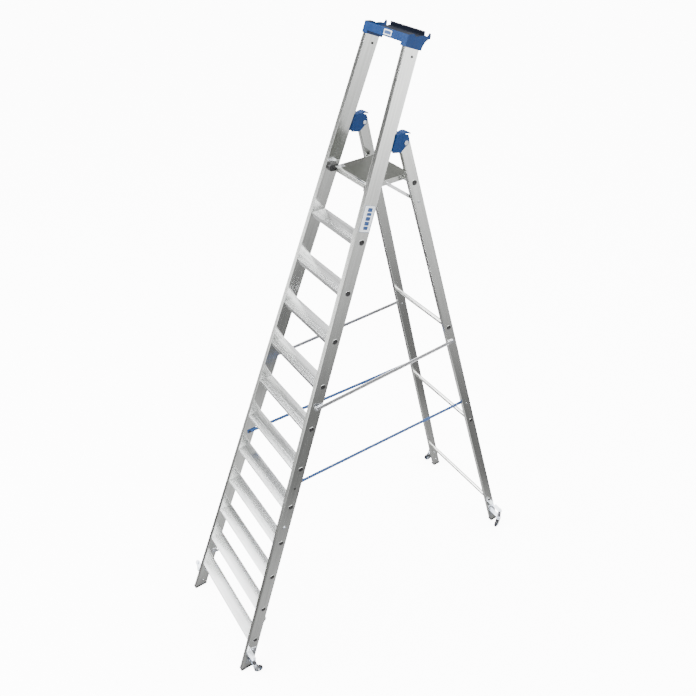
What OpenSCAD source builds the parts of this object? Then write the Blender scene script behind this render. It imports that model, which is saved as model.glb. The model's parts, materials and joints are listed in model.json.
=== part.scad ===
// Platform step ladder with eleven treads, a fold-up standing platform, a tool tray
// and four sprung swivel castors. Two frames fold together about the top hinge.
// X is left to right, Y is front to back and Z is up. All lengths are millimetres.

/* [Front frame] */
// Lean of the front stiles back from upright, in degrees
front_lean = 21; // [20:0.25:22]
// Outer width of the front frame at the floor
front_foot_w = 724.5; // [715:0.5:735]
// Inward slope of each front stile, in millimetres per millimetre of height
front_taper = 0.063; // [0.062:0.0005:0.064]
// Thickness of a front stile, side to side
stile_thick = 25; // [24:0.5:26]
// Depth of a front stile, front to back
stile_deep = 75; // [73:0.5:77]
// Wall of the stile profile
stile_wall = 2; // [1.6:0.1:2.4]
// Length of the front stiles, measured up the slope
stile_len = 3628; // [3620:1:3634]

/* [Treads] */
// Height from one tread to the next
step_pitch = 235; // [232:1:238]
// Depth of a tread, front to back
tread_deep = 78; // [70:1:79]
// Height of the tread's front nose
nose_high = 22; // [18:1:24]
// Outer radius of the tube under each tread, which is flared into the stiles
tube_r = 13; // [12:0.25:13.5]

/* [Rear frame] */
// Lean of the rear legs forward from upright, in degrees
rear_lean = 15.2; // [15:0.05:15.4]
// Distance from the front feet to the back of the rear feet
reach = 2119.25; // [2115:0.25:2123]
// Outer width of the rear frame at the floor
rear_foot_w = 684.7; // [680:0.1:690]
// Inward slope of each rear leg, in millimetres per millimetre of height
rear_taper = 0.0575; // [0.057:0.0005:0.058]
// Thickness of a rear leg, side to side
leg_thick = 25; // [24:0.5:26]
// Depth of a rear leg, front to back
leg_deep = 54; // [52:1:56]
// Wall of the rear leg profile
leg_wall = 1.8; // [1.5:0.1:2.2]
// Height of the main hinge above the floor
hinge_z = 2970; // [2968:1:2972]
// Heights of the four crossbars, from the top down
bar_z = [2771.6, 1886, 1110, 250];
// Radius of a crossbar tube
bar_r = 12; // [11:0.25:13]

/* [Platform] */
// Height of the standing surface
deck_z = 2802; // [2801:0.5:2803]
// Half of the platform's width
deck_half = 138; // [130:1:138]
// Front edge of the platform, behind the front feet
deck_front = 1112; // [1111:1:1114]
// Back edge of the platform
deck_back = 1346; // [1344:1:1347]

/* [Tool tray] */
// Half of the tray's width
tray_half = 154; // [153:1:158]
// Height of the tray's floor
tray_floor_z = 3369.6; // [3368:0.2:3371]

/* [Castors] */
// Wheel diameter
wheel_d = 56; // [52:1:56]
// Tread width of a wheel
wheel_w = 17; // [15:1:18]
// Distance from the swivel axis back to the wheel's axle
trail = 18; // [16:1:18]

/* [Hidden] */
$fn = 48;
STEPS = [for (i = [1:11]) str("step_", i < 10 ? "0" : "", i)];
CORNERS = ["front_left", "front_right", "rear_left", "rear_right"];
BARS = ["rear_bar_top", "rear_bar_upper", "rear_bar_middle", "rear_bar_bottom"];

// The origin is on the floor, midway between the front and the back of the ladder
mid_y = (reach - 0.25) / 2;
gap = 0.1;                 // between pieces that only lie against each other
fit = 0.05;                // running fit round a pin
far = 400;                 // beyond the frame's half width
front_splay = atan(front_taper * cos(front_lean));
rear_splay = atan(rear_taper * cos(rear_lean));
sole_z = 12;               // top of the rubber soles
foot_open = 60;            // legs start this far below the floor before they are trimmed

// Places on the frames, in the upright plane through the middle
function front_y(z) = z * tan(front_lean);
function leg_y(z) = reach - 28 - z * tan(rear_lean);
function stile_x(y, z) = front_foot_w / 2 - (y * sin(front_lean) + z * cos(front_lean)) * tan(front_splay);
function leg_x(z) = rear_foot_w / 2 - z * rear_taper;
function step_z(i) = step_pitch * (i + 1);

tread_set = 2;             // the nose stands this far behind the stile's front
tube_back = 41.6;          // tube's axis behind the front of the stile
tube_drop = 13.7;          // tube's axis below the tread
tube_wall = 1.5;
flare = 1.2;

hinge_y = leg_y(hinge_z);
bolt_r = 6;
pivot = [1124, 2789];      // platform pivot, as [y, z]
link_top = [1218, 2783];   // link's open pivot on the platform
link_foot_z = 2672;
link_foot = [leg_y(link_foot_z), link_foot_z];
strut_foot_z = 1787;
strut_foot = [leg_x(strut_foot_z), leg_y(strut_foot_z), strut_foot_z];
strut_set = 2;             // strut stands this far outside the rear leg
strut_len = 892.4;
stud_z = 1750;
stud_stand = 3;
strap_front_z = 1282;
strap_rear_z = 1267.5;
fold_angle = 36;

function unit(v) = v / norm(v);
function turn_x(v, a) = [v[0], v[1] * cos(a) - v[2] * sin(a), v[1] * sin(a) + v[2] * cos(a)];
// A place on the right stile's outer face: n back from its front and s up the slope
function on_face(n, s) = let (y = n * cos(front_lean) + s * sin(front_lean),
                              z = s * cos(front_lean) - n * sin(front_lean))
    [stile_x(y, z), y, z];
// The same slope coordinates, [n, s], of a place given as back from the front line and up
function slope_of(back, z) = let (y = front_y(z) + back)
    [y * cos(front_lean) - z * sin(front_lean), y * sin(front_lean) + z * cos(front_lean)];
stud_ns = slope_of(42, stud_z);
stow_ns = [39, 1120];      // where the strut's front end is stowed
stud_at = on_face(stud_ns[0], stud_ns[1]);
stow_at = on_face(stow_ns[0], stow_ns[1]);
hinge_at = [0, hinge_y, hinge_z];
strut_root = strut_foot + [strut_set, 0, 0];
// The stowed direction is turned back to where the rear leg stands when open
foot_folded = hinge_at + turn_x(strut_root - hinge_at, -fold_angle);
to_open = unit(stud_at + [stud_stand, 0, 0] - strut_root);
to_stowed = turn_x(unit(stow_at + [stud_stand + 1, 0, 0] - foot_folded), fold_angle);
strut_axis = unit(cross(to_open, to_stowed));

module mirrored(side) {
    if (side < 0)
        mirror([1, 0, 0]) children();
    else
        children();
}

// Whole model moved so that its origin is midway between front and back
module placed() {
    translate([0, -mid_y, 0]) children();
}

module both_sides() {
    placed() {
        children();
        mirror([1, 0, 0]) children();
    }
}

// Frame of a front stile: z runs up it, y from its front, x = 0 is its outer face
module on_stile() {
    translate([front_foot_w / 2, 0, 0])
        rotate([-front_lean, 0, 0])
            rotate([0, -front_splay, 0])
                children();
}

// Frame of a rear leg: z runs up it, y is 0 on its centreline, x = 0 is its outer face
module on_leg() {
    translate([rear_foot_w / 2, leg_y(0), 0])
        rotate([rear_lean, 0, 0])
            rotate([0, -rear_splay, 0])
                children();
}

// Everything between the two outer stile faces moved outwards by off
module between_stiles(off) {
    low = -50;
    high = 3800;
    wide = front_foot_w / 2 + off / cos(front_splay);
    slope = tan(front_splay);
    rotate([-front_lean, 0, 0])
        translate([0, 200, 0])
            rotate([90, 0, 0])
                linear_extrude(300)
                    polygon([[-wide + low * slope, low], [wide - low * slope, low],
                             [wide - high * slope, high], [-wide + high * slope, high]]);
}

// Everything between the two outer rear leg faces moved outwards by off
module between_legs(off) {
    low = -50;
    high = 3300;
    wide = rear_foot_w / 2 + off / cos(rear_splay);
    slope = tan(rear_splay);
    translate([0, leg_y(0), 0])
        rotate([rear_lean, 0, 0])
            translate([0, 150, 0])
                rotate([90, 0, 0])
                    linear_extrude(300)
                        polygon([[-wide + low * slope, low], [wide - low * slope, low],
                                 [wide - high * slope, high], [-wide + high * slope, high]]);
}

// A section drawn in the upright plane, as [y, z], and run across the ladder
module across(x0, x1) {
    translate([x0, 0, 0])
        rotate([90, 0, 90])
            linear_extrude(x1 - x0)
                children();
}

module pin_x(x0, x1, r) {
    translate([x0, 0, 0]) rotate([0, 90, 0]) cylinder(h = x1 - x0, r = r);
}

module at_yz(y, z) {
    translate([0, y, z]) children();
}

module round_rect(w, h, r) {
    hull_w = w - 2 * r;
    hull_h = h - 2 * r;
    translate([r, 0]) square([hull_w, h]);
    translate([0, r]) square([w, hull_h]);
    for (x = [r, w - r])
        for (y = [r, h - r])
            translate([x, y]) circle(r);
}

// ---- Front frame ----

module stile_section() {
    front_wall = 3.2;
    groove_w = 2;
    difference() {
        translate([-stile_thick, 0]) round_rect(stile_thick, stile_deep, 2);
        translate([-stile_thick + stile_wall, front_wall])
            square([stile_thick - 2 * stile_wall, stile_deep - front_wall - stile_wall]);
        for (i = [0:3])
            translate([-stile_thick + 4.5 + i * 4.67, -1]) square([groove_w, 2]);
    }
}

// Outline of the tube under a tread: round below, flat where the tread lies on it
module tube_outline(r, flat) {
    intersection() {
        circle(r);
        translate([-r, -r]) square([2 * r, r + flat]);
    }
}

module at_step(i) {
    at_yz(front_y(step_z(i)) + tube_back, step_z(i) - tube_drop) children();
}

flat_out = tube_drop - 3.2;

module front_stile() {
    difference() {
        on_stile()
            translate([0, 0, -foot_open])
                linear_extrude(stile_len + foot_open) stile_section();
        translate([0, -200, -200]) cube([500, 500, 200 + sole_z]);
        for (i = [0:10])
            at_step(i) across(0, far) tube_outline(tube_r + fit, flat_out + fit);
    }
}

// Plate, front nose, rear lip and anti-slip ribs of a tread, as [back, up] from its nose
module tread_section() {
    plate = 2.4;
    polygon([[0, -1], [tread_deep, -1], [tread_deep, -14], [tread_deep - 2, -14],
             [tread_deep - 2, -1 - plate], [2.4, -1 - plate], [2.4, -nose_high], [0, -nose_high]]);
    for (i = [0:6])
        translate([1.5 + i * 5, -1.2]) square([2.2, 1.2]);
    translate([tread_deep - 4, -1.2]) square([2.2, 0.8]);
}

module step_tube() {
    difference() {
        tube_outline(tube_r, flat_out);
        tube_outline(tube_r - tube_wall, flat_out - tube_wall);
    }
}

module step(i) {
    color("gainsboro") placed() {
        intersection() {
            at_yz(front_y(step_z(i)) + tread_set, step_z(i)) across(-far, far) tread_section();
            between_stiles(-stile_thick - gap);
        }
        intersection() {
            at_step(i) across(-far, far) step_tube();
            between_stiles(flare);
        }
        intersection() {
            at_step(i) across(-far, far)
                difference() {
                    tube_outline(tube_r + 3, flat_out + 3);
                    tube_outline(tube_r - 1, flat_out - 1);
                }
            difference() {
                between_stiles(flare);
                between_stiles(gap / 2);
            }
        }
    }
}

module sole(points, x0, x1) {
    across(x0, x1) polygon(points);
}

module front_feet() {
    color([0.08, 0.08, 0.09]) both_sides() {
        sole([[8, 0], [80, 0], [86, 5], [88, sole_z - gap], [2, sole_z - gap], [0, 6]], 335, 364);
        // plug inside the end of the stile
        intersection() {
            on_stile()
                translate([-stile_thick + stile_wall + gap, 3.3, -20])
                    cube([stile_thick - 2 * stile_wall - 2 * gap, stile_deep - 5.4, 60]);
            translate([300, -50, sole_z - 1]) cube([100, 200, 60]);
        }
    }
}

// ---- Tool tray ----

// Side of the tray in the slope's own axes: back from the stile's front, and up the slope
tray_base_s = 3593;
module tray_end_outline() {
    polygon([[-4, tray_base_s], [84, tray_base_s], [85, 3606], [86.5, 3613], [90, 3622],
             [95.4, 3631.5], [103, 3639], [113, 3645], [112, 3655], [107.7, 3664], [102, 3665],
             [100, 3656], [95, 3650.5], [83, 3651], [70, 3648], [34, 3637.5], [29, 3642],
             [25, 3646], [16, 3644], [0, 3640], [-4, 3638]]);
}

// The same side without its rear horn, as wide as the socket round the stile
module tray_socket_outline() {
    polygon([[-4, tray_base_s], [84, tray_base_s], [85, 3606], [86.5, 3613], [90, 3622],
             [90, 3634], [34, 3637], [29, 3642], [25, 3646], [16, 3644], [0, 3640], [-4, 3638]]);
}

module tray_end() {
    socket_in = 119;
    wall = 4;
    wedge = 300;
    difference() {
        rotate([-front_lean, 0, 0]) {
            across(socket_in, tray_half) tray_socket_outline();
            across(tray_half - 6, tray_half) tray_end_outline();
        }
        // socket for the stile, open below
        on_stile()
            translate([-stile_thick - gap, -gap, 3500])
                cube([stile_thick + 2 * gap, stile_deep + 2 * gap, stile_len - 3500 + gap]);
        // hollow beside the stile keeps the moulding a shell
        intersection() {
            rotate([-front_lean, 0, 0])
                across(socket_in + wall, tray_half)
                    polygon([[0, tray_base_s - 1], [80, tray_base_s - 1], [80, 3628], [0, 3628]]);
            on_stile()
                translate([-stile_thick - wall - wedge, -wedge / 2, 3500])
                    cube([wedge, wedge, wedge]);
        }
    }
}

module tool_tray() {
    front_at = front_y(tray_floor_z);
    floor_thick = 3.6;
    back_y = 1412;
    wall_half = 116;
    color([0.13, 0.33, 0.62]) {
        both_sides() tray_end();
        placed() {
            // floor
            translate([-124, front_at, tray_floor_z - floor_thick])
                cube([248, back_y - front_at, floor_thick]);
            // upright foot of the front wall
            translate([-121, front_at + 0.5, tray_floor_z - 1])
                cube([242, 3.2, 5]);
            // front wall, in line with the stiles' fronts
            rotate([-front_lean, 0, 0])
                across(-121, 121)
                    polygon([[-4, 3605], [2, 3608], [2, 3638], [-4, 3638]]);
            // rear wall with its hollow rolled top
            across(-wall_half, wall_half)
                polygon([[back_y - 4, tray_floor_z - floor_thick], [back_y, tray_floor_z - 2],
                         [back_y + 3, 3384], [back_y - 1, 3386], [back_y - 4, 3383]]);
        }
    }
}

// Puts its children on a stile's outer face, where x is outwards from the face
module at_face(ns) {
    on_stile() translate([0, ns[0], ns[1] / cos(front_splay)]) children();
}

module tray_screws() {
    color([0.2, 0.2, 0.22]) both_sides()
        at_face(slope_of(50, 3310)) {
            pin_x(gap, 2.4, 5);
            pin_x(-stile_thick - 2.6, -stile_thick - gap, 5);
        }
}

// ---- Main hinge ----

cheek_out = [174.9, 179.4];
cheek_in = [139.2, 143.7];

module cheek_outline() {
    polygon([[1211, 2945], [1215, 2939], [1253, 2931], [1262, 2934], [1290, 2955], [1298, 2962],
             [1262, 3014], [1252, 3014], [1236, 3008]]);
    polygon([[1250, 2960], [1298, 2962], [1304, 2984], [1298, 3002], [1262, 3014], [1252, 3014]]);
    translate([hinge_y, hinge_z]) circle(17);
}

module hinge_bracket() {
    roof_r = [39, 45.5];
    difference() {
        union() {
            across(cheek_in[0], cheek_in[1]) cheek_outline();
            across(cheek_out[0], cheek_out[1]) cheek_outline();
            // web on the back of the stile and the roof over the leg's end
            across(cheek_in[0], cheek_out[1])
                difference() {
                    union() {
                        polygon([[1200, 2920], [1230, 2920], [1265, 3014], [1220, 3030]]);
                        intersection() {
                            translate([hinge_y, hinge_z]) circle(roof_r[1]);
                            translate([hinge_y - 46, hinge_z + 20]) square([70, 40]);
                        }
                    }
                    translate([hinge_y, hinge_z]) circle(roof_r[0]);
                    polygon([[1150, 2900], [1260, 2900], [1260, 2931.5], [1200, 2947.5]]);
                    // all that lies behind the web and below the roof
                    polygon([[front_y(2900) + 88, 2900], [1330, 2900], [1330, 2989],
                             [front_y(2989) + 88, 2989]]);
                    polygon([[1150, 3014], [1262, 3014], [1240, 3060], [1150, 3060]]);
                }
        }
        // seat against the back of the stile
        on_stile()
            translate([-200, -200, 2900])
                cube([400, 200 + stile_deep + gap, 600]);
        at_yz(hinge_y, hinge_z) pin_x(cheek_in[0] - 1, cheek_out[1] + 1, bolt_r + fit);
    }
}

module hinge_bolts() {
    color("silver") both_sides()
        at_yz(hinge_y, hinge_z) {
            pin_x(cheek_in[0] - 6, cheek_out[1] + gap, bolt_r);
            pin_x(cheek_out[1] + gap, cheek_out[1] + 4.5, 10);
            translate([cheek_in[0] - 5.2, 0, 0])
                rotate([0, 90, 0])
                    cylinder(h = 5, r = 9.5, $fn = 6);
        }
}

// ---- Rear frame ----

module leg_section() {
    difference() {
        translate([-leg_thick, -leg_deep / 2]) round_rect(leg_thick, leg_deep, 2);
        translate([-leg_thick + leg_wall, -leg_deep / 2 + leg_wall])
            square([leg_thick - 2 * leg_wall, leg_deep - 2 * leg_wall]);
    }
}

module rear_leg() {
    hinge_s = hinge_z / cos(rear_lean);
    end_s = hinge_s + 9;
    difference() {
        on_leg()
            intersection() {
                translate([0, 0, -foot_open])
                    linear_extrude(end_s + foot_open + leg_deep / 2) leg_section();
                translate([-leg_thick, 0, 0]) rotate([90, 0, 90])
                    linear_extrude(leg_thick) {
                        translate([-leg_deep / 2, -foot_open]) square([leg_deep, end_s + foot_open]);
                        translate([0, end_s]) circle(leg_deep / 2);
                    }
            }
        translate([0, 1900, -200]) cube([500, 400, 200 + sole_z]);
        for (z = bar_z)
            at_yz(leg_y(z), z) pin_x(0, far, bar_r + fit);
        at_yz(hinge_y, hinge_z) pin_x(0, far, bolt_r + fit);
        at_yz(link_foot[0], link_foot[1]) pin_x(0, far, 4 + fit);
        strut_pin(-40, 20, 5 + fit);
        at_yz(leg_y(strap_rear_z), strap_rear_z) pin_x(0, far, 3 + fit);
    }
}

// A pin along the strut's own pivot, measured outwards from the strut's inner face
module strut_pin(d0, d1, r) {
    yaw = atan2(strut_axis[1], strut_axis[0]);
    tilt = acos(strut_axis[2]);
    translate(strut_root)
        rotate([0, tilt, yaw])
            translate([0, 0, d0])
                cylinder(h = d1 - d0, r = r);
}

module rear_bar(i) {
    wall = 1.5;
    color("silver") placed() {
        intersection() {
            at_yz(leg_y(bar_z[i]), bar_z[i])
                difference() {
                    pin_x(-far, far, bar_r);
                    pin_x(-far, far, bar_r - wall);
                }
            between_legs(flare);
        }
        intersection() {
            at_yz(leg_y(bar_z[i]), bar_z[i])
                difference() {
                    pin_x(-far, far, bar_r + 2.5);
                    pin_x(-far, far, bar_r - 1);
                }
            difference() {
                between_legs(flare);
                between_legs(gap / 2);
            }
        }
    }
}

module rear_feet() {
    color([0.08, 0.08, 0.09]) both_sides() {
        sole([[2064, 0], [2112, 0], [2119, 6], [2118, sole_z - gap], [2057, sole_z - gap], [2058, 5]],
             315, 344.4);
        intersection() {
            on_leg()
                translate([-leg_thick + leg_wall + gap, -leg_deep / 2 + leg_wall + gap, -20])
                    cube([leg_thick - 2 * leg_wall - 2 * gap, leg_deep - 2 * leg_wall - 2 * gap, 60]);
            translate([300, 1900, sole_z - 1]) cube([100, 300, 60]);
        }
    }
}

module rear_rivets() {
    inner = leg_x(link_foot_z) - leg_thick;
    strap_face = leg_x(strap_rear_z);
    color("silver") both_sides() {
        // link pivots
        at_yz(link_foot[0], link_foot[1]) {
            pin_x(link_x0 - 1, leg_x(link_foot_z) + 0.8, 4);
            pin_x(link_x0 - 2.4, link_x0 - 0.3, 7);
            pin_x(leg_x(link_foot_z) + 0.8, leg_x(link_foot_z) + 2.6, 6);
            pin_x(link_x0 + link_thick + 0.3, inner - 0.5, 6.5);
        }
        // strut pivots
        strut_pin(-strut_set - 27, 5.6, 5);
        strut_pin(4.3, 6, 9);
        strut_pin(-1.4, -0.3, 8);
        // strap rivets
        at_yz(leg_y(strap_rear_z), strap_rear_z) {
            pin_x(strap_face - leg_thick - strap_head - 0.1, strap_face + 0.8, 3);
            pin_x(strap_face + 0.8, strap_face + 2.4, 6);
            pin_x(strap_face - leg_thick - strap_head - 1.4, strap_face - leg_thick - strap_head, 8);
        }
    }
}

// ---- Platform ----

corner_size = [32, 40, 1.6];

// Shallow seats that let the corner plates in flush with the deck
module corner_seats() {
    for (s = [0, 1])
        mirror([s, 0, 0])
            translate([deck_half - 34 - gap, deck_front + 1.5 - gap, deck_z - corner_size[2] - gap])
                cube([corner_size[0] + 2 * gap, corner_size[1] + 2 * gap, 5]);
}

module platform_deck() {
    color([0.27, 0.27, 0.25]) placed()
        difference() {
            translate([-deck_half + 2.2, deck_front + 14, deck_z - 3])
                cube([2 * deck_half - 4.4, deck_back - deck_front - 14, 3]);
            corner_seats();
        }
}

module platform_frame() {
    rail_end = 1318;
    rail_drop = 24;
    rest_front = 1324;
    under = deck_z - 3 - gap;
    bar_top = bar_z[0] + bar_r + 0.4;
    color("silver") placed() {
        // ribbed front nose
        difference() {
            across(-deck_half, deck_half)
                difference() {
                    polygon([[deck_front, deck_z - 1], [deck_front + 2, deck_z],
                             [deck_front + 13.9, deck_z], [deck_front + 13.9, deck_z - rail_drop],
                             [deck_front, deck_z - rail_drop]]);
                    for (i = [0:3])
                        translate([deck_front - 1, deck_z - 6.5 - i * 4.5]) square([2, 2]);
                    translate([deck_front + 2.4, deck_z - rail_drop - 1])
                        square([9, rail_drop - 3]);
                }
            corner_seats();
        }
        for (s = [0, 1])
            mirror([s, 0, 0]) {
                // side rail
                across(deck_half - 2, deck_half)
                    polygon([[deck_front + 13.8, deck_z], [rail_end, deck_z],
                             [rail_end, deck_z - rail_drop + 4], [rail_end - 4, deck_z - rail_drop],
                             [deck_front + 13.8, deck_z - rail_drop]]);
                // ledge that carries the deck
                translate([deck_half - 16, deck_front + 13.8, under - 2.4])
                    cube([14.1, rest_front - deck_front, 2.4]);
                // pivot pin
                at_yz(pivot[0], pivot[1]) pin_x(deck_half - 30, deck_half + 14, 5.2 - 2 * fit);
                // boss that faces the link
                at_yz(link_top[0], link_top[1]) pin_x(deck_half - 1, deck_half + 0.9, 6);
            }
        // rear channel, which comes down on the top crossbar
        across(-deck_half + 4, deck_half - 4)
            difference() {
                translate([rest_front, bar_top]) square([deck_back - rest_front, under - bar_top]);
                translate([rest_front + 2, bar_top + 2])
                    square([deck_back - rest_front - 4, under - bar_top]);
            }
    }
}

module platform_corners() {
    color("gainsboro") placed()
        for (s = [0, 1])
            mirror([s, 0, 0])
                translate([deck_half - 34, deck_front + 1.5, deck_z - corner_size[2]])
                    difference() {
                        cube(corner_size);
                        translate([9, 26, -1]) cylinder(h = 4, r = 3);
                        translate([22, 12, -1]) cylinder(h = 4, r = 3);
                    }
}

module platform_hinge() {
    difference() {
        intersection() {
            across(deck_half + 1.2, far)
                polygon([[1084, 2788], [1092, 2779], [1132, 2774], [1141, 2780], [1141, 2798],
                         [1134, 2806], [1098, 2812], [1088, 2806]]);
            between_stiles(-stile_thick - gap);
        }
        at_yz(pivot[0], pivot[1]) pin_x(0, far, 5.2 - fit);
    }
}

link_thick = 3;
link_x1 = leg_x(link_foot_z) - leg_thick - 2.2;   // outer face at the leg
link_x0 = link_x1 - link_thick;
link_top_x = deck_half + 1.2;                     // inner face at the platform

module platform_link() {
    long = norm(link_top - link_foot);
    rise = atan2(link_top[1] - link_foot[1], link_top[0] - link_foot[0]);
    half = 8;
    at_yz(link_foot[0], link_foot[1])
        rotate([rise - 180, 0, 0])
            difference() {
                intersection() {
                    translate([0, 0, -half])
                        linear_extrude(2 * half)
                            polygon([[link_x0, half + 2], [link_x0, -14], [link_top_x, -long + 22],
                                     [link_top_x, -long - half - 2],
                                     [link_top_x + link_thick, -long - half - 2],
                                     [link_top_x + link_thick, -long + 22],
                                     [link_x1, -14], [link_x1, half + 2]]);
                    rotate([90, 0, 90])
                        linear_extrude(far) {
                            circle(half);
                            translate([-long, 0]) circle(half);
                            translate([-long, -half]) square([long, 2 * half]);
                        }
                }
                pin_x(0, far, 4 + fit);
            }
}

// ---- Struts, straps and hooks ----

// Strut in its own frame: x along it from the rear pivot, z outwards along the pivot
module strut() {
    width = 22;
    thick = 4;
    color([0.8, 0.82, 0.85])
        translate(strut_root)
            multmatrix(strut_turn())
                difference() {
                    linear_extrude(thick)
                        difference() {
                            union() {
                                circle(width / 2);
                                translate([strut_len, 0]) circle(width / 2);
                                translate([0, -width / 2]) square([strut_len, width]);
                            }
                            circle(5 + fit);
                            translate([strut_len, 0]) circle(4);
                        }
                    // shallow channel between the raised edges
                    translate([26, -width / 2 + 3, thick - 0.8])
                        cube([strut_len - 52, width - 6, 2]);
                }
}

function strut_turn() = let (x = to_open, z = strut_axis, y = cross(z, x))
    [[x[0], y[0], z[0], 0], [x[1], y[1], z[1], 0], [x[2], y[2], z[2], 0], [0, 0, 0, 1]];

module stud(ns, stand) {
    at_face(ns) {
        pin_x(gap, stand - 0.4, 7);
        pin_x(gap, 1.4, 12);
    }
}

module strut_studs() {
    color("silver") both_sides() {
        stud(stud_ns, stud_stand);
        stud(stow_ns, stud_stand + 1);
        // wear strip above the open strut
        at_face([17, 1905]) translate([gap, 0, 0]) cube([1.4, 52, 16]);
    }
}

strap_off = 2.6;           // strap's middle, inside the stile's inner face
strap_head = 4.3;          // inner face of the heads that hold it
module strap() {
    thick = 1.6;
    width = 25;
    y0 = front_y(strap_front_z) + 40;
    y1 = leg_y(strap_rear_z);
    a = [stile_x(y0, strap_front_z) - stile_thick - strap_off, y0, strap_front_z];
    b = [leg_x(strap_rear_z) - leg_thick - strap_off, y1, strap_rear_z];
    run = b - a;
    flat = norm([run[0], run[1]]);
    translate(a)
        rotate([0, 0, -atan2(run[0], run[1])])
            rotate([atan2(run[2], flat), 0, 0])
                translate([-thick / 2, -12, -width / 2])
                    difference() {
                        cube([thick, norm(run) + 24, width]);
                        for (y = [12, 12 + norm(run)])
                            translate([0, y, width / 2]) pin_x(-5, 5, 5.2);
                    }
}

module strap_clips() {
    color([0.25, 0.25, 0.27]) both_sides()
        at_face(slope_of(40, strap_front_z)) {
            pin_x(gap, 1.8, 6);
            pin_x(-stile_thick - strap_head - 1.4, -stile_thick - strap_head, 8);
            pin_x(-stile_thick - strap_head - 0.1, -stile_thick - gap, 3);
        }
}

// Flat hook on the inner side of each stile, with its tip turned up behind the stile
hook_s = 350;
module fold_hooks() {
    thick = 3;
    tip_n = 105;
    color("silver") both_sides()
        at_face([0, hook_s])
            translate([-stile_thick - thick - gap, 0, 0])
                rotate([90, 0, 90])
                    linear_extrude(thick)
                        difference() {
                            union() {
                                polygon([[36, 4], [44, -4], [84, -2], [98, 10], [tip_n, 26],
                                         [tip_n - 2, 44], [tip_n - 6, 44], [tip_n - 9, 30],
                                         [88, 18], [72, 20], [66, 34], [42, 34], [36, 26]]);
                                translate([tip_n - 4, 44]) circle(2);
                            }
                            translate([50, 15]) circle(4);
                        }
}

// ---- Castors ----

spring_low = 91;           // seat of the spring on the stem's collar
spring_high = 151;
// Each castor: [stem x, stem y, heading of the trail from +Y towards +X]
front_castor = [412.5, 77, 12];
rear_castor = [392.5, 2078, 162];
stem_r = 6;
kingpin_r = 3.5;
lug_z = [84, 152];         // undersides of the two lugs
lug_thick = 3;

module castor_lugs(castor) {
    for (low = lug_z)
        difference() {
            union() {
                translate([castor[0], castor[1], low]) cylinder(h = lug_thick, r = 15);
                translate([0, castor[1] - 15, low]) cube([castor[0], 30, lug_thick]);
            }
            translate([castor[0], castor[1], low - 1]) cylinder(h = lug_thick + 2, r = stem_r + fit);
        }
}

module front_castor_bracket() {
    difference() {
        union() {
            castor_lugs(front_castor);
            on_stile() translate([gap, 18, 58]) cube([3, 50, 130]);
        }
        on_stile() translate([-400 + gap, -300, -300]) cube([400, 900, 900]);
    }
    // bolts through the stile
    on_stile()
        for (z = [76, 172])
            translate([0, 43, z]) {
                pin_x(3 + gap, 6, 6);
                pin_x(-stile_thick - 3, -stile_thick - gap, 6);
            }
}

module rear_castor_bracket() {
    difference() {
        union() {
            castor_lugs(rear_castor);
            on_leg() translate([gap, -23, 58]) cube([3, 46, 130]);
        }
        on_leg() translate([-400 + gap, -300, -300]) cube([400, 900, 900]);
    }
    on_leg()
        for (z = [76, 172])
            translate([0, 0, z]) {
                pin_x(3 + gap, 6, 6);
                pin_x(-leg_thick - 3, -leg_thick - gap, 6);
            }
}

// Sliding stem, the collar that the spring pushes on, and the kingpin below it
module castor_stem(castor) {
    collar_z = lug_z[0] + lug_thick + gap;
    translate([castor[0], castor[1], 0]) {
        translate([0, 0, 72]) cylinder(h = 98, r = stem_r);
        translate([0, 0, collar_z]) cylinder(h = spring_low - collar_z, r = 11);
        translate([0, 0, 166]) cylinder(h = 4, r = 8.5);
        translate([0, 0, 72]) cylinder(h = 3, r = 9);
        translate([0, 0, 61]) cylinder(h = 12, r = kingpin_r);
        translate([0, 0, 60]) cylinder(h = 3.8, r = 5.5);
    }
}

module castor_spring(castor) {
    coil_r = 10;
    wire_r = 1.6;
    turns = 6;
    rise = (spring_high - spring_low - 2 * wire_r - 1) / turns;
    translate([castor[0], castor[1], 0])
        for (i = [0:turns])
            translate([0, 0, spring_low + wire_r + 0.5 + i * rise])
                rotate_extrude() translate([coil_r, 0]) circle(wire_r, $fn = 16);
    // binding wire between the turns
    translate([castor[0] + coil_r, castor[1], spring_low + wire_r + 0.5])
        cylinder(h = rise * turns, r = 1, $fn = 16);
}

module headed(castor) {
    translate([castor[0], castor[1], 0]) rotate([0, 0, -castor[2]]) children();
}

module castor_fork(castor) {
    axle_z = wheel_d / 2;
    inner = wheel_w / 2 + 1;
    headed(castor) {
        // crown plate under the stem
        difference() {
            union() {
                translate([0, 0, 64]) cylinder(h = 7.6, r = 13);
                translate([-inner - 2.5, -13, 64]) cube([2 * inner + 5, 26, 3]);
            }
            translate([0, 0, 63]) cylinder(h = 10, r = kingpin_r + fit);
        }
        for (s = [-1, 1])
            mirrored(s)
                difference() {
                    across(inner, inner + 2.5)
                        polygon([[-13, 70], [13, 70], [trail + 9, axle_z + 6], [trail + 9, axle_z - 5],
                                 [trail + 4, axle_z - 9], [trail - 4, axle_z - 9],
                                 [trail - 9, axle_z - 4]]);
                    at_yz(trail, axle_z) pin_x(0, 30, 4);
                }
        // axle with its two heads
        at_yz(trail, axle_z) {
            pin_x(-inner - 2.5, inner + 2.5, 4);
            pin_x(inner + 2.4, inner + 4.5, 6.5);
            pin_x(-inner - 4.5, -inner - 2.4, 6.5);
        }
    }
}

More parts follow.
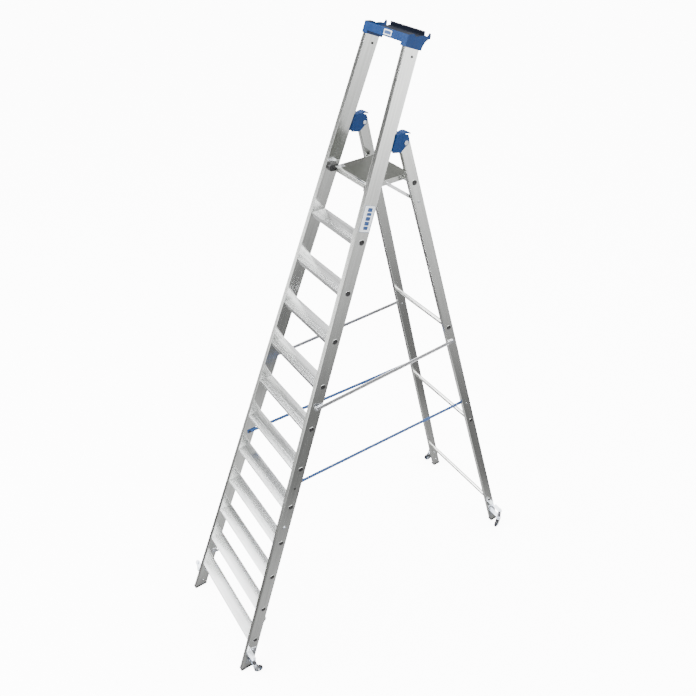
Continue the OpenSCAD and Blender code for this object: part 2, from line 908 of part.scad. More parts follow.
module castor_wheel(castor) {
    r = wheel_d / 2;
    half = wheel_w / 2;
    headed(castor)
        at_yz(trail, r)
            rotate([0, 90, 0])
                rotate_extrude($fn = 72)
                    polygon([[4 + fit, -half], [10, -half], [11, -half + 2], [r - 8, -half + 2],
                             [r - 6, -half + 0.5], [r - 1.5, -half + 2.5], [r, -half + 5],
                             [r, half - 5], [r - 1.5, half - 2.5], [r - 6, half - 0.5],
                             [r - 8, half - 2], [11, half - 2], [10, half], [4 + fit, half]]);
}

// Castor at one corner: which piece of it, by name
module castor(piece, corner) {
    rear = corner > 1;
    side = (corner % 2 == 0) ? -1 : 1;
    at = rear ? rear_castor : front_castor;
    placed() mirrored(side) {
        if (piece == "spring")
            color([0.3, 0.3, 0.32]) castor_spring(at);
        if (piece == "stem")
            color("silver") castor_stem(at);
        if (piece == "fork")
            color([0.75, 0.76, 0.78]) castor_fork(at);
        if (piece == "wheel")
            color([0.35, 0.38, 0.42]) castor_wheel(at);
    }
}

module on_side(side) {
    placed() mirrored(side) children();
}

color("gainsboro") on_side(-1) front_stile();  // front_stile_left
color("gainsboro") on_side(1) front_stile();  // front_stile_right
for (i = [0:10])
    step(i);
tool_tray();
tray_screws();
color([0.13, 0.33, 0.7]) on_side(-1) hinge_bracket();  // hinge_bracket_left
color([0.13, 0.33, 0.7]) on_side(1) hinge_bracket();  // hinge_bracket_right
hinge_bolts();
platform_deck();
platform_frame();
platform_corners();
color([0.1, 0.1, 0.11]) on_side(-1) platform_hinge();  // platform_hinge_left
color([0.1, 0.1, 0.11]) on_side(1) platform_hinge();  // platform_hinge_right
color("silver") on_side(-1) platform_link();  // platform_link_left
color("silver") on_side(1) platform_link();  // platform_link_right
color("gainsboro") on_side(-1) rear_leg();  // rear_leg_left
color("gainsboro") on_side(1) rear_leg();  // rear_leg_right
for (i = [0:3])
    rear_bar(i);
on_side(-1) strut();  // strut_left
on_side(1) strut();  // strut_right
strut_studs();
color([0.1, 0.35, 0.7]) on_side(-1) strap();  // strap_left
color([0.1, 0.35, 0.7]) on_side(1) strap();  // strap_right
strap_clips();
rear_rivets();
fold_hooks();
front_feet();
rear_feet();
color("silver") both_sides() front_castor_bracket();  // castor_brackets_front
color("silver") both_sides() rear_castor_bracket();  // castor_brackets_rear
for (c = [0:3]) {
    castor("spring", c);
    castor("stem", c);
    castor("fork", c);
    castor("wheel", c);
}
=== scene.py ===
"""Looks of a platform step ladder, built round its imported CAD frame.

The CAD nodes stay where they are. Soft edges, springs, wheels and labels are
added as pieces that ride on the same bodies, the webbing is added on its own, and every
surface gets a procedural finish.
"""

import json
import logging
import math
from dataclasses import dataclass, field, replace
from enum import Enum

import bmesh
import bpy
from mathutils import Euler, Matrix, Vector


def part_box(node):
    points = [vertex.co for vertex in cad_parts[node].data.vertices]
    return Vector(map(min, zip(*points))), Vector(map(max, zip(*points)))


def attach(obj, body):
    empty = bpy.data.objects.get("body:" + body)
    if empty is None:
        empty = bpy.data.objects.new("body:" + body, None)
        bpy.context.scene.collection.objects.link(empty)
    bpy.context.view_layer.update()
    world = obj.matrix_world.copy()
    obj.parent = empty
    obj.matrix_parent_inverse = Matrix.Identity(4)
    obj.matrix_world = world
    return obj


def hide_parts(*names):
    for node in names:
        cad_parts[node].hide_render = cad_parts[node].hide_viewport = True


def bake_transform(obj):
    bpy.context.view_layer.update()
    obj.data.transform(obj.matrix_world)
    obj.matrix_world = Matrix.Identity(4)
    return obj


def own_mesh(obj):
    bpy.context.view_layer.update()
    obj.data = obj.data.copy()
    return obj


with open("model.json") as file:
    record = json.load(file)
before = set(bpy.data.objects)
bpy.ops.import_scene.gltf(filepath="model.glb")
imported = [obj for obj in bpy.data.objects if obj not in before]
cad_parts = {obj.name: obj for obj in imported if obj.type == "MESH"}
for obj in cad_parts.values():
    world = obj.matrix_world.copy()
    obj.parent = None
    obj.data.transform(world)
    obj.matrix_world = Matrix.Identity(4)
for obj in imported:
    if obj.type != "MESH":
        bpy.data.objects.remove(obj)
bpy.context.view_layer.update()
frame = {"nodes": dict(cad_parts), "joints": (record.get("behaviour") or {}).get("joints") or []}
LOG = logging.getLogger("step_ladder")

Colour = tuple[float, float, float]
Value = float | bpy.types.NodeSocket
Stops = tuple[tuple[float, float], ...]
MM = 0.001
SIDES = ("left", "right")
CORNERS = ("front_left", "front_right", "rear_left", "rear_right")
STEPS = tuple(f"step_{number:02d}" for number in range(1, 12))
BARS = ("rear_bar_top", "rear_bar_upper", "rear_bar_middle", "rear_bar_bottom")


# ---------------------------------------------------------------- shader graphs


class Graph:
    """Adds and wires nodes in one node tree."""

    def __init__(self, tree: bpy.types.NodeTree) -> None:
        """Keeps the tree that nodes go into."""
        self.tree = tree

    def add(self, kind: str, values: dict | None = None, **settings: object) -> bpy.types.Node:
        """Adds one node.

        Args:
            kind: Blender's type name of the node.
            values: socket name or number to a constant or to an output to wire in.
            **settings: the node's own properties.

        Returns:
            The new node.
        """
        node = self.tree.nodes.new(kind)
        for name, value in settings.items():
            setattr(node, name, value)
        for name, value in (values or {}).items():
            if isinstance(value, bpy.types.NodeSocket):
                self.tree.links.new(value, node.inputs[name])
            else:
                node.inputs[name].default_value = value
        return node

    def ramp(self, source: bpy.types.NodeSocket, stops: Stops) -> bpy.types.NodeSocket:
        """Passes a value through a grey colour ramp.

        Args:
            source: value from 0 to 1.
            stops: (position, grey) pairs, in order.

        Returns:
            The ramp's colour output.
        """
        node = self.add("ShaderNodeValToRGB", {"Fac": source})
        elements = node.color_ramp.elements
        while len(elements) < len(stops):
            elements.new(0.5)
        for element, (place, grey) in zip(elements, stops):
            element.position = place
            element.color = (grey, grey, grey, 1.0)
        return node.outputs["Color"]

    def math(self, operation: str, first: Value, second: Value) -> bpy.types.NodeSocket:
        """Joins two values or sockets with a Math node and returns its output."""
        return self.add("ShaderNodeMath", {0: first, 1: second}, operation=operation).outputs[0]

    def place(self) -> bpy.types.NodeSocket:
        """Gives the surface point in the object's own axes."""
        return self.add("ShaderNodeTexCoord").outputs["Object"]

    def mix(self, share: Value, first: Value | tuple, second: Value | tuple) -> bpy.types.NodeSocket:
        """Blends two colours by a mask and returns the blend."""
        sources = {"Factor": share, 6: first, 7: second}
        return self.add("ShaderNodeMix", sources, data_type="RGBA").outputs[2]

    def effect(self, group: bpy.types.NodeTree, values: dict) -> bpy.types.Node:
        """Places one shared group with its own values."""
        return self.add("ShaderNodeGroup", values, node_tree=group)

    def between(self, share: bpy.types.NodeSocket, low: float, high: float) -> bpy.types.NodeSocket:
        """Maps a mask to the span from low to high."""
        return self.add("ShaderNodeMapRange", {"Value": share, "To Min": low, "To Max": high}).outputs[0]

    def relief(self, height: bpy.types.NodeSocket, strength: float, depth: float) -> bpy.types.NodeSocket:
        """Turns a height into a bumped normal."""
        sources = {"Height": height, "Strength": strength, "Distance": depth}
        return self.add("ShaderNodeBump", sources).outputs[0]

    def wire(self, node: bpy.types.Node, sources: dict[str, bpy.types.NodeSocket]) -> None:
        """Links outputs to a node's inputs by socket name."""
        for socket, source in sources.items():
            self.tree.links.new(source, node.inputs[socket])


def new_group(
    name: str, inputs: dict[str, str], outputs: dict[str, str]
) -> tuple[bpy.types.NodeTree, Graph, bpy.types.Node, bpy.types.Node]:
    """Makes an empty shader node group.

    Args:
        name: the group's name.
        inputs: socket name to socket type.
        outputs: socket name to socket type.

    Returns:
        The group, its graph, its input node and its output node.
    """
    group = bpy.data.node_groups.new(name, "ShaderNodeTree")
    for direction, sockets in (("INPUT", inputs), ("OUTPUT", outputs)):
        for label, kind in sockets.items():
            group.interface.new_socket(name=label, in_out=direction, socket_type=kind)
    graph = Graph(group)
    return group, graph, graph.add("NodeGroupInput"), graph.add("NodeGroupOutput")


FLOAT, VECTOR = "NodeSocketFloat", "NodeSocketVector"


class SharedEffects:
    """Effects that several finishes use, each built once as a node group."""

    def __init__(self) -> None:
        """Builds every group."""
        self.drawn_lines = self._drawn_lines()
        self.handling = self._handling()
        self.grain = self._grain()
        self.weave = self._weave()

    def _drawn_lines(self) -> bpy.types.NodeTree:
        """Draws the fine lines left by the extrusion die. Made coarse and dark on the treads, the same lines
        paint the shade in their grooves.

        They run along Z of the vector given.

        Returns:
            The group, which puts out a tone and a height.
        """
        group, graph, given, result = new_group(
            "drawn_lines",
            {"Vector": VECTOR, "Fineness": FLOAT},
            {"Tone": FLOAT, "Height": FLOAT},
        )
        squeeze = graph.add(
            "ShaderNodeVectorMath",
            {0: given.outputs["Vector"], 1: (1.0, 1.0, 0.012)},
            operation="MULTIPLY",
        )
        fine = graph.add(
            "ShaderNodeTexNoise",
            {"Vector": squeeze.outputs[0], "Scale": given.outputs["Fineness"],
             "Detail": 5.0, "Roughness": 0.65},
        )
        broad_scale = graph.math("MULTIPLY", given.outputs["Fineness"], 0.16)
        broad = graph.add(
            "ShaderNodeTexNoise", {"Vector": squeeze.outputs[0], "Scale": broad_scale, "Detail": 2.0}
        )
        both = graph.math("MULTIPLY", fine.outputs[0], broad.outputs[0])
        graph.wire(result, {"Tone": graph.ramp(both, ((0.12, 0.0), (0.42, 1.0))), "Height": fine.outputs[0]})
        return group

    def _handling(self) -> bpy.types.NodeTree:
        """Spreads faint patches of dulling and small scuffs from handling.

        Returns:
            The group, which puts out two masks.
        """
        group, graph, given, result = new_group(
            "handling", {"Vector": VECTOR, "Scale": FLOAT}, {"Patches": FLOAT, "Scuffs": FLOAT}
        )
        cloud = graph.add(
            "ShaderNodeTexNoise",
            {"Vector": given.outputs["Vector"], "Scale": given.outputs["Scale"],
             "Detail": 6.0, "Roughness": 0.6},
        )
        patches = graph.ramp(cloud.outputs[0], ((0.38, 0.0), (0.66, 1.0)))
        scuff_scale = graph.math("MULTIPLY", given.outputs["Scale"], 9.0)
        specks = graph.add(
            "ShaderNodeTexVoronoi",
            {"Vector": given.outputs["Vector"], "Scale": scuff_scale, "Randomness": 1.0},
        )
        scuffs = graph.ramp(specks.outputs["Distance"], ((0.03, 1.0), (0.1, 0.0)))
        graph.wire(result, {"Patches": patches, "Scuffs": scuffs})
        return group

    def _grain(self) -> bpy.types.NodeTree:
        """Makes the fine grain of moulded plastic and coated sheet.

        Returns:
            The group, which puts out a height.
        """
        group, graph, given, result = new_group(
            "moulded_grain", {"Vector": VECTOR, "Scale": FLOAT}, {"Height": FLOAT}
        )
        cells = graph.add(
            "ShaderNodeTexVoronoi",
            {"Vector": given.outputs["Vector"], "Scale": given.outputs["Scale"]},
            feature="SMOOTH_F1",
        )
        cloud = graph.add(
            "ShaderNodeTexNoise",
            {"Vector": given.outputs["Vector"], "Scale": given.outputs["Scale"], "Detail": 3.0},
        )
        graph.wire(result, {"Height": graph.math("ADD", cells.outputs["Distance"], cloud.outputs[0])})
        return group

    def _weave(self) -> bpy.types.NodeTree:
        """Makes the plain weave of webbing, with ribs across Y and threads along it, and paints shade into
        its valleys.

        Returns:
            The group, which puts out a height and a tone that paints shade in the weave's low parts.
        """
        valley = 0.35
        group, graph, given, result = new_group(
            "webbing_weave",
            {"Vector": VECTOR, "Ribs": FLOAT, "Threads": FLOAT},
            {"Height": FLOAT, "Tone": FLOAT},
        )
        parts = graph.add("ShaderNodeSeparateXYZ", {"Vector": given.outputs["Vector"]})
        along = graph.math("MULTIPLY", parts.outputs["Y"], given.outputs["Ribs"])
        up = graph.math("MULTIPLY", parts.outputs["Z"], given.outputs["Threads"])
        rib = graph.math("ABSOLUTE", graph.math("SINE", along, 0.0), 0.0)
        thread = graph.math("ABSOLUTE", graph.math("SINE", up, 0.0), 0.0)
        height = graph.math("MULTIPLY", graph.math("ADD", rib, valley), graph.math("ADD", thread, valley))
        # The tone follows the height, so the weave's valleys get painted shade.
        graph.wire(result, {"Height": height, "Tone": graph.math("MULTIPLY", height, 0.55)})
        return group


# ---------------------------------------------------------------------- finishes


def principled(name: str) -> tuple[bpy.types.Material, Graph, bpy.types.Node]:
    """Starts a material with one Principled shader.

    Args:
        name: the material's name.

    Returns:
        The material, its graph and its shader.
    """
    material = bpy.data.materials.new(name)
    material.use_nodes = True
    material.node_tree.nodes.clear()
    graph = Graph(material.node_tree)
    shader = graph.add("ShaderNodeBsdfPrincipled")
    graph.add("ShaderNodeOutputMaterial", {"Surface": shader.outputs[0]})
    return material, graph, shader


def rgba(colour: Colour) -> tuple[float, float, float, float]:
    """Adds full opacity to a colour."""
    return (*colour, 1.0)


@dataclass(frozen=True)
class MetalFinish:
    """A bare metal with lines along one direction and marks from handling."""

    name: str
    tint: Colour
    shade: Colour
    smooth: float
    rough: float
    along: tuple[float, float, float] = (0.0, 0.0, 1.0)
    fineness: float = 900.0
    line_depth: float = 0.00002
    marks: float = 9.0
    dulling: float = 0.2
    scuffing: float = 0.25
    relief: float = 0.35

    def build(self, effects: SharedEffects) -> bpy.types.Material:
        """Makes the material.

        Args:
            effects: the shared node groups.

        Returns:
            The finished material.
        """
        material, graph, shader = principled(self.name)
        place = graph.place()
        turn = Vector(self.along).to_track_quat("Z", "Y").to_euler()
        turned = graph.add("ShaderNodeMapping", {"Vector": place, "Rotation": turn}, vector_type="TEXTURE")
        lines = graph.effect(effects.drawn_lines, {"Vector": turned.outputs[0], "Fineness": self.fineness})
        marks = graph.effect(effects.handling, {"Vector": place, "Scale": self.marks})
        wear = graph.math("ADD", graph.math("MULTIPLY", marks.outputs["Patches"], self.dulling),
                          graph.math("MULTIPLY", marks.outputs["Scuffs"], self.scuffing))
        shader.inputs["Metallic"].default_value = 1.0
        graph.wire(shader, {
            "Base Color": graph.mix(lines.outputs["Tone"], rgba(self.shade), rgba(self.tint)),
            "Roughness": graph.between(wear, self.smooth, self.rough),
            "Normal": graph.relief(lines.outputs["Height"], self.relief, self.line_depth),
        })
        return material


@dataclass(frozen=True)
class MouldedFinish:
    """Plastic, rubber or coated sheet with a fine grain and paler worn patches."""

    name: str
    tint: Colour
    worn: Colour
    smooth: float
    rough: float
    grain: float = 1400.0
    depth: float = 0.00005
    specular: float = 0.5
    coat: float = 0.0
    coat_roughness: float = 0.25
    marks: float = 14.0
    dulling: float = 0.45
    scuffing: float = 0.3
    relief: float = 0.4

    def build(self, effects: SharedEffects) -> bpy.types.Material:
        """Makes the material.

        Args:
            effects: the shared node groups.

        Returns:
            The finished material.
        """
        material, graph, shader = principled(self.name)
        place = graph.place()
        grain = graph.effect(effects.grain, {"Vector": place, "Scale": self.grain})
        marks = graph.effect(effects.handling, {"Vector": place, "Scale": self.marks})
        wear = graph.math("ADD", graph.math("MULTIPLY", marks.outputs["Patches"], self.dulling),
                          graph.math("MULTIPLY", marks.outputs["Scuffs"], self.scuffing))
        shader.inputs["Specular IOR Level"].default_value = self.specular
        shader.inputs["Coat Weight"].default_value = self.coat
        shader.inputs["Coat Roughness"].default_value = self.coat_roughness
        graph.wire(shader, {
            "Base Color": graph.mix(wear, rgba(self.tint), rgba(self.worn)),
            "Roughness": graph.between(wear, self.smooth, self.rough),
            "Normal": graph.relief(grain.outputs["Height"], self.relief, self.depth),
        })
        return material


@dataclass(frozen=True)
class WebbingFinish:
    """Woven polyester webbing, with painted shade in the weave's valleys."""

    name: str
    tint: Colour
    shade: Colour
    rib_pitch: float = 1.6 * MM
    thread_pitch: float = 1.1 * MM
    relief: float = 0.7
    depth: float = 0.4 * MM
    roughness: float = 0.78
    sheen: float = 0.3
    sheen_roughness: float = 0.5

    def build(self, effects: SharedEffects) -> bpy.types.Material:
        """Makes the material.

        Args:
            effects: the shared node groups.

        Returns:
            The finished material.
        """
        material, graph, shader = principled(self.name)
        weave = graph.effect(effects.weave, {
            "Vector": graph.place(),
            "Ribs": math.pi / self.rib_pitch,
            "Threads": math.pi / self.thread_pitch,
        })
        shader.inputs["Sheen Weight"].default_value = self.sheen
        shader.inputs["Sheen Roughness"].default_value = self.sheen_roughness
        shader.inputs["Roughness"].default_value = self.roughness
        # The weave's tone puts painted shade in its valleys.
        graph.wire(shader, {
            "Base Color": graph.mix(weave.outputs["Tone"], rgba(self.shade), rgba(self.tint)),
            "Normal": graph.relief(weave.outputs["Height"], self.relief, self.depth),
        })
        return material


class Finish(Enum):
    """The record's material slots."""

    EXTRUDED = "extruded_aluminium"
    BRIGHT = "bright_aluminium"
    BLUE = "blue_plastic"
    BLACK = "black_plastic"
    DECK = "deck_sheet"
    WEBBING = "blue_webbing"
    SOLE = "sole_rubber"
    ZINC = "zinc_plated_steel"
    SPRING = "spring_steel"
    WHEEL = "wheel_plastic"


ALUMINIUM_TINT: Colour = (0.8, 0.81, 0.795)
ALUMINIUM_SHADE: Colour = (0.58, 0.59, 0.57)
ACROSS = (1.0, 0.0, 0.0)

SLOT_FINISHES: dict[Finish, MetalFinish | MouldedFinish | WebbingFinish] = {
    Finish.EXTRUDED: MetalFinish("aluminium_across", ALUMINIUM_TINT, ALUMINIUM_SHADE, 0.14, 0.27, ACROSS),
    Finish.BRIGHT: MetalFinish(
        "aluminium_bright", (0.88, 0.89, 0.9), (0.74, 0.75, 0.77), 0.22, 0.4, along=(0.0, 1.0, 0.0)
    ),
    Finish.BLUE: MouldedFinish(
        "plastic_blue", (0.0008, 0.024, 0.105), (0.002, 0.034, 0.135), 0.3, 0.44, specular=0.2, coat=0.04
    ),
    Finish.BLACK: MouldedFinish("plastic_black", (0.012, 0.012, 0.013), (0.035, 0.035, 0.037), 0.4, 0.6),
    Finish.DECK: MouldedFinish(
        "deck_coating", (0.022, 0.024, 0.019), (0.034, 0.036, 0.03), 0.5, 0.7, grain=700.0, depth=0.00035
    ),
    Finish.WEBBING: WebbingFinish("webbing_blue", (0.01, 0.11, 0.38), (0.003, 0.035, 0.15)),
    Finish.SOLE: MouldedFinish(
        "rubber_sole", (0.012, 0.012, 0.012), (0.03, 0.03, 0.03), 0.62, 0.82, 900.0, 0.0001, specular=0.3
    ),
    Finish.ZINC: MetalFinish(
        "zinc_plate", (0.78, 0.81, 0.85), (0.6, 0.63, 0.68), 0.16, 0.36,
        fineness=500.0, line_depth=0.00003, marks=30.0
    ),
    Finish.SPRING: MetalFinish(
        "spring_wire", (0.12, 0.12, 0.13), (0.06, 0.06, 0.065), 0.3, 0.5, ACROSS, fineness=600.0
    ),
    Finish.WHEEL: MouldedFinish(
        "wheel_hub", (0.1, 0.14, 0.2), (0.16, 0.2, 0.27), 0.3, 0.5, 900.0, 0.00003, coat=0.2
    ),
}


class FinishShelf:
    """All materials, made once and handed out by slot or by name."""

    def __init__(self) -> None:
        """Builds every finish that does not depend on a piece's direction."""
        self.effects = SharedEffects()
        self.slots = {slot: finish.build(self.effects) for slot, finish in SLOT_FINISHES.items()}
        # A near-black blue that paints the shade in the tool tray's well and on its upward faces.
        self.blue_painted_shade = MouldedFinish(
            "plastic_blue_painted_shade", (0.0006, 0.0025, 0.009), (0.0015, 0.005, 0.016), 0.4, 0.55, specular=0.2
        ).build(self.effects)
        # The treads' aluminium is paler than the rest, a painted highlight for their lit tops, and its
        # coarse dark lines across the tread paint the shade in its grooves.
        self.tread = MetalFinish(
            "aluminium_tread_painted_light", (0.92, 0.93, 0.935), (0.5, 0.51, 0.51), 0.2, 0.26, ACROSS,
            fineness=230.0, line_depth=0.00012, marks=4.0
        ).build(self.effects)
        self.tyre = MouldedFinish(
            "wheel_tyre", (0.018, 0.019, 0.02), (0.05, 0.05, 0.052), 0.5, 0.7, 800.0, 0.00008
        ).build(self.effects)
        self.label_white = self.printed("label_white", (0.8, 0.84, 0.88), (0.72, 0.76, 0.8))
        self.label_blue = self.printed("label_blue", (0.006, 0.045, 0.17), (0.01, 0.06, 0.2))
        self.thread = MouldedFinish(
            "stitch_thread", (0.03, 0.18, 0.5), (0.05, 0.22, 0.55), 0.6, 0.8, 3000.0
        ).build(self.effects)

    def printed(self, name: str, tint: Colour, worn: Colour) -> bpy.types.Material:
        """Makes smooth printed film."""
        return MouldedFinish(name, tint, worn, 0.3, 0.45, 500.0, 0.00001, coat=0.3).build(self.effects)

    def aluminium(self, name: str, along: tuple[float, float, float]) -> bpy.types.Material:
        """Makes extruded aluminium whose lines run along a direction."""
        return replace(SLOT_FINISHES[Finish.EXTRUDED], name=name, along=along).build(self.effects)


def dress(piece: bpy.types.Object, material: bpy.types.Material) -> bpy.types.Object:
    """Gives an object one material.

    Args:
        piece: the object.
        material: what it is made of.

    Returns:
        The same object.
    """
    piece.data.materials.clear()
    piece.data.materials.append(material)
    return piece


# ------------------------------------------------------------------ mesh helpers


def mesh_piece(name: str, verts: list, faces: list, smooth: bool = True) -> bpy.types.Object:
    """Makes a linked mesh object with outward normals.

    Args:
        name: the object's name.
        verts: vertex places in metres.
        faces: lists of vertex numbers.
        smooth: whether its faces are shaded smooth below 35 degrees.

    Returns:
        The new object.
    """
    mesh = bpy.data.meshes.new(name)
    mesh.from_pydata([tuple(v) for v in verts], [], faces)
    shape = bmesh.new()
    shape.from_mesh(mesh)
    bmesh.ops.recalc_face_normals(shape, faces=shape.faces)
    shape.to_mesh(mesh)
    shape.free()
    if smooth:
        mesh.shade_smooth()
        mesh.set_sharp_from_angle(angle=math.radians(35))
    piece = bpy.data.objects.new(name, mesh)
    bpy.context.scene.collection.objects.link(piece)
    return piece


def loft(rings: list[list[Vector]], closed: bool = False, capped: bool = True) -> tuple[list, list]:
    """Joins rings of equal length into a tube.

    Args:
        rings: the cross-sections, in order.
        closed: whether the last ring joins the first.
        capped: whether the two ends are closed.

    Returns:
        Vertices and faces.
    """
    count = len(rings[0])
    verts = [v for ring in rings for v in ring]
    faces = []
    spans = len(rings) if closed else len(rings) - 1
    for i in range(spans):
        low, high = i * count, ((i + 1) % len(rings)) * count
        for j in range(count):
            k = (j + 1) % count
            faces.append([low + j, low + k, high + k, high + j])
    if capped and not closed:
        faces.append(list(range(count))[::-1])
        faces.append([(len(rings) - 1) * count + j for j in range(count)])
    return verts, faces


def lathe(
    profile: list[tuple[float, float]], centre: Vector, axis: Vector, steps: int = 64
) -> tuple[list, list]:
    """Turns a closed outline about an axis.

    Args:
        profile: (radius, distance along the axis) points of a closed outline.
        centre: a point on the axis.
        axis: the axis direction.
        steps: parts in a full turn.

    Returns:
        Vertices and faces.
    """
    turn = axis.to_track_quat("Z", "Y").to_matrix()
    rings = []
    for i in range(steps):
        angle = 2 * math.pi * i / steps
        spoke = Vector((math.cos(angle), math.sin(angle), 0.0))
        rings.append([centre + turn @ (spoke * r + Vector((0, 0, d))) for r, d in profile])
    return loft(rings, closed=True)


def merge(parts: list[tuple[list, list]]) -> tuple[list, list]:
    """Puts several meshes into one.

    Args:
        parts: pairs of vertices and faces.

    Returns:
        Vertices and faces.
    """
    verts, faces = [], []
    for part_verts, part_faces in parts:
        base = len(verts)
        verts += part_verts
        faces += [[base + i for i in face] for face in part_faces]
    return verts, faces


def rounded_outline(
    width: float, height: float, radius: float, corner_steps: int = 6
) -> list[tuple[float, float]]:
    """Draws a rounded rectangle about the origin, anticlockwise.

    Args:
        width: its size along the first axis.
        height: its size along the second axis.
        radius: the radius of its corners.
        corner_steps: parts in each corner.

    Returns:
        The outline's points.
    """
    points = []
    for number, (sx, sy) in enumerate(((1, 1), (-1, 1), (-1, -1), (1, -1))):
        cx, cy = sx * (width / 2 - radius), sy * (height / 2 - radius)
        for i in range(corner_steps + 1):
            angle = math.radians(90 * number + 90 * i / corner_steps)
            points.append((cx + radius * math.cos(angle), cy + radius * math.sin(angle)))
    return points


def slab(
    outline: list[tuple[float, float]], base: Matrix, low: float, high: float, crown: float
) -> tuple[list, list]:
    """Makes a thin plate with a softened top edge.

    Args:
        outline: points in the plate's own plane.
        base: the plate's own axes, with Z as its outward normal.
        low: height of its underside.
        high: height of its top.
        crown: how far the top edge is drawn in.

    Returns:
        Vertices and faces.
    """
    size = max(math.hypot(x, y) for x, y in outline)

    def ring(inset: float, height: float) -> list[Vector]:
        """Draws the outline in by an inset, at a height."""
        return [base @ Vector((x * (1 - inset / size), y * (1 - inset / size), height)) for x, y in outline]

    return loft([ring(0, low), ring(0, high - crown), ring(crown, high)])


def softened(node: str, width: float, body: str, material: bpy.types.Material,
             segments: int = 2) -> bpy.types.Object:
    """Stands a copy with rounded edges in for a CAD node.

    Args:
        node: the CAD node's name.
        width: the width of the rounding in metres.
        body: the body that the piece rides on.
        material: its material.
        segments: steps across each rounded edge.

    Returns:
        The new piece.
    """
    mesh = frame["nodes"][node].data.copy()
    shape = bmesh.new()
    shape.from_mesh(mesh)
    bmesh.ops.remove_doubles(shape, verts=shape.verts, dist=0.00001)
    bmesh.ops.dissolve_limit(
        shape, angle_limit=math.radians(0.5), verts=shape.verts, edges=shape.edges, delimit={"NORMAL"}
    )
    shape.to_mesh(mesh)
    shape.free()
    if "custom_normal" in mesh.attributes:
        mesh.attributes.remove(mesh.attributes["custom_normal"])
    mesh.shade_smooth()
    mesh.set_sharp_from_angle(angle=math.radians(32))
    piece = bpy.data.objects.new(node + "_soft", mesh)
    bpy.context.scene.collection.objects.link(piece)
    bevel = piece.modifiers.new("edges", "BEVEL")
    bevel.width = width
    bevel.segments = segments
    bevel.limit_method = "ANGLE"
    bevel.angle_limit = math.radians(40)
    bevel.miter_outer = "MITER_ARC"
    weighted = piece.modifiers.new("normals", "WEIGHTED_NORMAL")
    weighted.keep_sharp = False
    dress(piece, material)
    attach(piece, body)
    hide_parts(node)
    LOG.info("%s: softened by %.1f mm", node, width / MM)
    return piece


def joint_named(name: str) -> dict:
    """Looks up a joint of the record by name."""
    return next(joint for joint in frame["joints"] if joint["name"] == name)


# ------------------------------------------------------------------- assemblies


@dataclass
class FrontLine:
    """The sloping line of the front stiles, worked out from the treads."""

    nose_set: float = 2 * MM
    foot_y: float = field(init=False)
    foot_z: float = field(init=False)
    slope: float = field(init=False)

    def __post_init__(self) -> None:
        """Measures the slope between the lowest and the highest tread."""
        low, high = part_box(STEPS[0]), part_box(STEPS[-1])
        self.foot_y, self.foot_z = low[0].y - self.nose_set, low[1].z
        self.slope = (high[0].y - low[0].y) / (high[1].z - low[1].z)

    def y_at(self, z: float) -> float:
        """Gives the front line's Y at a height."""
        return self.foot_y + (z - self.foot_z) * self.slope


@dataclass
class Frames:
    """The two frames' metalwork and what is fixed to it."""

    shelf: FinishShelf
    thick: float = 25 * MM
    stile_depth: float = 80 * MM
    leg_depth: float = 56 * MM
    tread_edge: float = 0.45 * MM
    sole_edge: float = 1.0 * MM
    bracket_edge: float = 1.2 * MM
    strut_edge: float = 0.5 * MM
    link_edge: float = 0.4 * MM

    def run_of(self, node: str, deep: float) -> tuple[float, float, float]:
        """Works out the direction of a stile or leg from its box.

        Args:
            node: the CAD node's name.
            deep: the profile's horizontal depth.

        Returns:
            The direction from its foot to its top.
        """
        low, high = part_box(node)
        inwards = 1.0 if node.endswith("left") else -1.0
        back = 1.0 if node.startswith("front") else -1.0
        size = high - low
        return (inwards * (size.x - self.thick), back * (size.y - deep), size.z)

    def build(self) -> None:
        """Dresses both frames and softens the treads' edges."""
        nodes, slots = frame["nodes"], self.shelf.slots
        for side in SIDES:
            depths = {f"front_stile_{side}": self.stile_depth, f"rear_leg_{side}": self.leg_depth}
            for node, deep in depths.items():
                dress(nodes[node], self.shelf.aluminium(f"aluminium_{node}", self.run_of(node, deep)))
        for node in STEPS:
            # The treads get aluminium with a painted highlight and painted shade in the grooves.
            softened(node, self.tread_edge, "front_frame", self.shelf.tread)
        plain = {
            Finish.EXTRUDED: BARS,
            Finish.BLACK: ("tray_screws", "strap_clips"),
            Finish.ZINC: ("hinge_bolts", "strut_studs", "rear_rivets", "fold_hooks",
                          "castor_brackets_front", "castor_brackets_rear"),
        }
        for slot, names in plain.items():
            for node in names:
                dress(nodes[node], slots[slot])
        for node, body in (("front_feet", "front_frame"), ("rear_feet", "rear_frame")):
            softened(node, self.sole_edge, body, slots[Finish.SOLE])
        for side in SIDES:
            softened(f"hinge_bracket_{side}", self.bracket_edge, "front_frame",
                     slots[Finish.BLUE], 3)
            softened(f"strut_{side}", self.strut_edge, f"strut_arm_{side}",
                     slots[Finish.BRIGHT])
            softened(f"platform_link_{side}", self.link_edge, f"link_{side}",
                     slots[Finish.BRIGHT])


